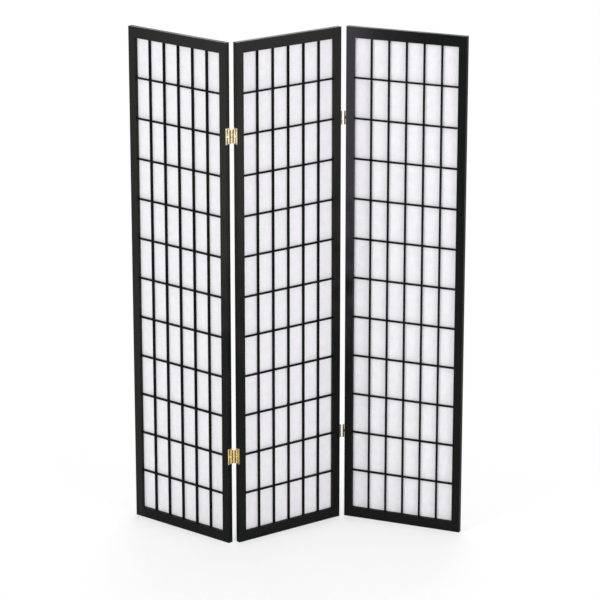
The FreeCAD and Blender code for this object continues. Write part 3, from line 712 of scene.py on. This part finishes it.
def link(spacing):
    """Half width over x is (a^n + b^n + w^n)^(1/n), n = 8, of the two barrels' half chords a and b and
    the web's half thickness w, so the barrels run into the web with a small hollow. Between the lugs
    the outline is held inside the web alone, x from r + clearance to spacing - r - clearance."""
    t = np.linspace(0, BARREL_END, 19)
    end = -KNUCKLE_RADIUS * np.cos(t)
    room, reach = LUG_HEIGHT / 2 + END_PLAY, KNUCKLE_RADIUS + LUG_CLEARANCE
    x = np.concatenate([end, np.linspace(reach, spacing - reach, 13), spacing - end[::-1]])
    chords = [np.sqrt(np.maximum(KNUCKLE_RADIUS ** 2 - (x - middle) ** 2, 0)) for middle in (0, spacing)]
    web = np.where((x > 0) & (x < spacing), LINK_WEB / 2, 0)
    half = sum(width ** FILLET_POWER for width in (*chords, web)) ** (1 / FILLET_POWER)
    half[[0, -1]] = 0
    along, drawn = eased_run(room, room + BARREL_HEIGHT, np.zeros(0), LINK_ARRIS)
    whole = chord_outline(x, half, np.zeros((1, 1)))[0]
    # the far end is eased all round, and the end at the lug only on the barrels' rims
    rim = np.clip((reach - from_pins(whole, spacing)) / LUG_CLEARANCE, 0, 1)
    eased = np.where(along[:, None] > room + BARREL_HEIGHT / 2, 1, rim)
    upper = chord_outline(x, half, drawn[:, None] * eased)
    neck = np.stack([np.clip(whole[:, 0], reach, spacing - reach),
                     np.clip(whole[:, 1], -LINK_WEB / 2, LINK_WEB / 2)], -1)
    rings = np.concatenate([upper[::-1], neck[None], neck[None], upper])
    return swept(rings, np.concatenate([-along[::-1], [-room, room], along]))


for side, level in HINGES:
    hinge = f"{side}_{level}_hinge"
    spacing = np.linalg.norm(middle_of(hinge + "_outer_pin") - middle_of(hinge + "_inner_pin"))
    points, faces = link(spacing)
    away = from_pins(points, spacing)
    # painted shade on the link: dark bands beside each barrel, leaving the web's middle as a pale slit
    hollow = (np.clip((away - PAINTED_SHADE_START) / PAINTED_SHADE_FADE_IN, 0, 1)
              * np.clip((PAINTED_SHADE_REACH - away) / PAINTED_SHADE_FADE_OUT, 0, 1))
    piece(hinge + "_link_brass", [(points, faces, stocked(points))],
          on_pin(hinge + "_inner_pin", LINK_ANGLES[side]), LINK_BRASS[side, level],
          f"{side}_{level}_link", [hinge + "_link"], hollow)


# ---------------------------------------------------------------- hinge pins
# Brass pins, one through the lug and the link's two barrels at each edge, with a low
# round head peened over at top and bottom.

PIN_RADIUS, PIN_HEAD_RADIUS, PIN_REACH, PIN_PROUD = 1.5, 2.2, 25.3, 1.0
PIN_RIM, PIN_RIM_EASED = 0.15, 0.1         # height and easing of the head's rim
pin_brass = brass("turned brass rod", "#ecd08c", "#b98f4a", "#7a5a24", 0.2)


def pin():
    """Rings about the pin's axis: a shank, and at each end a head whose dome has the radius head cos t
    and the height rim + (proud - rim) sin t above the link."""
    t = np.radians([0, 18, 36, 54, 70, 83])
    seat, dome_radius = PIN_REACH - PIN_PROUD, PIN_HEAD_RADIUS * np.cos(t)
    dome_rise = seat + PIN_RIM + (PIN_PROUD - PIN_RIM) * np.sin(t)
    half_radius = np.concatenate([[PIN_RADIUS, PIN_RADIUS, PIN_HEAD_RADIUS - PIN_RIM_EASED], dome_radius])
    half_rise = np.concatenate([[0.0, seat, seat], dome_rise])
    radii = np.concatenate([half_radius[::-1], half_radius[1:]])
    along = np.concatenate([-half_rise[::-1], half_rise[1:]])
    angles = np.linspace(0, 2 * math.pi, 24, endpoint=False)
    return swept(radii[:, None, None] * np.stack([np.cos(angles), np.sin(angles)], -1), along)


for side, level in HINGES:
    for part, body in (("inner", "centre_panel"), ("outer", f"{side}_panel")):
        hinge = f"{side}_{level}_hinge_{part}"
        points, faces = pin()
        piece(hinge + "_pin_turned", [(points, faces, stocked(points))],
              on_pin(hinge + "_pin", LEAF_ANGLES[side, part]), pin_brass,
              body, [hinge + "_pin"])


# ---------------------------------------------------------------- hinge screws
# Brass-plated countersunk wood screws with a cross recess, four to a leaf, driven into
# the stile's edge until their heads lie flush with the plate.

SCREW_LENGTH, SCREW_POINT, SCREW_TIP = 14.0, 3.0, 0.2
RECESS_REACH, RECESS_WIDTH, RECESS_DEPTH, RECESS_TAPER = 1.3, 0.5, 0.8, 0.45
screw_brass = brass("brass plated steel", "#e0c383", "#ab8544", "#6e5220", 0.26)


def screw():
    """Rings about the screw's own axis. The recess is a cross: its polar radius is the larger of the two
    slots' min(reach / |cos a|, width / 2|sin a|). The first ring is the recess's floor, the next ones
    widen to its mouth, and then the head, shank and point follow outside."""
    corner, eighth = math.atan2(RECESS_WIDTH / 2, RECESS_REACH), math.pi / 4
    between = (corner + eighth) / 2
    quarter = np.array([0, corner, between, eighth, 2 * eighth - between, 2 * eighth - corner])
    angles = (np.arange(4)[:, None] * math.pi / 2 + quarter).ravel()
    c, s = np.maximum(abs(np.cos(angles)), 1e-9), np.maximum(abs(np.sin(angles)), 1e-9)
    cross = np.maximum(np.minimum(RECESS_REACH / c, RECESS_WIDTH / 2 / s),
                       np.minimum(RECESS_REACH / s, RECESS_WIDTH / 2 / c))
    ring = np.stack([np.cos(angles), np.sin(angles)], -1)
    whole = np.ones(len(angles))
    profile = [(RECESS_TAPER * cross, RECESS_DEPTH), (cross, 0.02), (cross + 0.06, 0.0),
               ((SCREW_HEAD_RADIUS - 0.1) * whole, 0.02), (SCREW_HEAD_RADIUS * whole, 0.1),
               (SCREW_RADIUS * whole, SCREW_HEAD_DEPTH + 0.1),
               (SCREW_RADIUS * whole, SCREW_LENGTH - SCREW_POINT), (SCREW_TIP * whole, SCREW_LENGTH)]
    rings = np.stack([radius[:, None] * ring for radius, _ in profile])
    points, faces = swept(rings, np.array([depth for _, depth in profile]))
    return points[:, [2, 0, 1]] + (PIN_OFFSET, 0, 0), faces


for side, level in HINGES:
    for part, body in (("inner", "centre_panel"), ("outer", f"{side}_panel")):
        hinge = f"{side}_{level}_hinge_{part}"
        made = []
        for y in (-SCREW_OFFSET, SCREW_OFFSET):
            for z in (-SCREW_RISE, SCREW_RISE):
                points, faces = screw()
                turn = draws.uniform(0, math.pi / 2)
                c, s = math.cos(turn), math.sin(turn)
                points = points @ np.array([[1, 0, 0], [0, c, s], [0, -s, c]]) + (0, y, z)
                made.append((points, faces, stocked(points)))
        piece(hinge + "_screws_crosshead", made, on_pin(hinge + "_pin", LEAF_ANGLES[side, part]),
              screw_brass, body, [hinge + "_screws"])


# ---------------------------------------------------------------- floor, light and camera
# A plain white studio: a pale floor that keeps a soft shadow and fades into a white
# surround, wide soft lamps above the front, and the camera where the photograph was taken.

FLOOR_REACH = 60.0
floor_white, tree, output = new_material("matt white studio floor")
floor_paint = add(tree, "BsdfPrincipled", Base_Color=colour("#fdfdfd"), Roughness=0.9)
floor_paint.inputs["Specular IOR Level"].default_value = 0.0
# to the eye and in reflections the paint, with the screen's shadow, is half mixed with plain white
# below the screen and gives way to it between 0.6 m and 1.6 m out, so that the floor shows no edge
rays = add(tree, "LightPath").outputs
seen = add(tree, "Math", {0: rays["Is Camera Ray"], 1: rays["Is Glossy Ray"]}, operation="MAXIMUM")
seen = add(tree, "Math", {0: seen.outputs[0], 1: rays["Is Transmission Ray"]}, operation="MAXIMUM")
place = add(tree, "TexCoord").outputs["Object"]
away = add(tree, "VectorMath", {0: place}, operation="LENGTH")
fade = add(tree, "MapRange", {"Value": away.outputs["Value"]}, From_Min=0.6, From_Max=1.6,
           To_Min=0.45, To_Max=1.0, interpolation_type="SMOOTHSTEP")
share = add(tree, "Math", {0: fade.outputs[0], 1: seen.outputs[0]}, operation="MULTIPLY")
glow = add(tree, "Emission", Color=(1, 1, 1, 1), Strength=1.0)
both = add(tree, "MixShader", {0: share.outputs[0], 1: floor_paint.outputs[0], 2: glow.outputs[0]})
tree.links.new(both.outputs[0], output.inputs["Surface"])

corners = np.array([(-1, -1, 0), (1, -1, 0), (1, 1, 0), (-1, 1, 0)]) * FLOOR_REACH
floor_mesh = bpy.data.meshes.new("studio floor")
floor_mesh.from_pydata(corners.tolist(), [], [(0, 1, 2, 3)])
floor_mesh.materials.append(floor_white)
floor = bpy.data.objects.new("studio_floor", floor_mesh)
bpy.context.scene.collection.objects.link(floor)

world = bpy.data.worlds.new("white surround")
world.use_nodes = True
tree = world.node_tree
tree.nodes.clear()
# the surround lights the screen a little dimmer than the white that the eye and reflections see
rays = add(tree, "LightPath").outputs
seen = add(tree, "Math", {0: rays["Is Camera Ray"], 1: rays["Is Glossy Ray"]}, operation="MAXIMUM")
seen = add(tree, "Math", {0: seen.outputs[0], 1: rays["Is Transmission Ray"]}, operation="MAXIMUM")
ambient = add(tree, "Background", Color=colour("#f8f8fa"), Strength=0.7)
white = add(tree, "Background", Color=(1, 1, 1, 1), Strength=1.0)
both = add(tree, "MixShader", {0: seen.outputs[0], 1: ambient.outputs[0], 2: white.outputs[0]})
world_output = tree.nodes.new("ShaderNodeOutputWorld")
tree.links.new(both.outputs[0], world_output.inputs["Surface"])
bpy.context.scene.world = world


def lamp(name, place, aim, size, watts, code="#ffffff"):
    """A soft rectangular lamp of size (wide, high) metres at place, turned to face aim."""
    light = bpy.data.lights.new(name, "AREA")
    light.shape, light.size, light.size_y = "RECTANGLE", *size
    light.energy, light.color = watts, colour(code)[:3]
    holder = bpy.data.objects.new(name, light)
    place, aim = np.array(place, float), np.array(aim, float)
    back = (place - aim) / np.linalg.norm(place - aim)
    holder.location = place.tolist()
    holder.rotation_euler = (math.acos(back[2]), 0, math.atan2(back[0], -back[1]))
    bpy.context.scene.collection.objects.link(holder)


lamp("key softbox", (-4.5, -3.8, 3.0), (0, 0, 0.8), (3.0, 3.0), 145)
lamp("fill softbox", (4.3, -3.9, 2.4), (0, 0, 0.8), (3.0, 3.0), 146, "#fbf9fc")
lamp("back softbox", (0.4, 3.6, 3.2), (0, 0, 1.0), (3.2, 2.4), 70)

# a long lens 10 m in front of the screen and well above it, tilted down to its middle
camera = bpy.data.cameras.new("photograph")
camera.lens, camera.sensor_width = 180.0, 36.0
camera.clip_start, camera.clip_end = 0.5, 200.0
viewer = bpy.data.objects.new("photograph", camera)
viewer.location = (0.0091, -9.8757, 3.9175)
viewer.rotation_euler = (math.radians(72.706), 0, 0)
bpy.context.scene.collection.objects.link(viewer)
bpy.context.scene.camera = viewer
bpy.context.scene.view_settings.view_transform = "Standard"
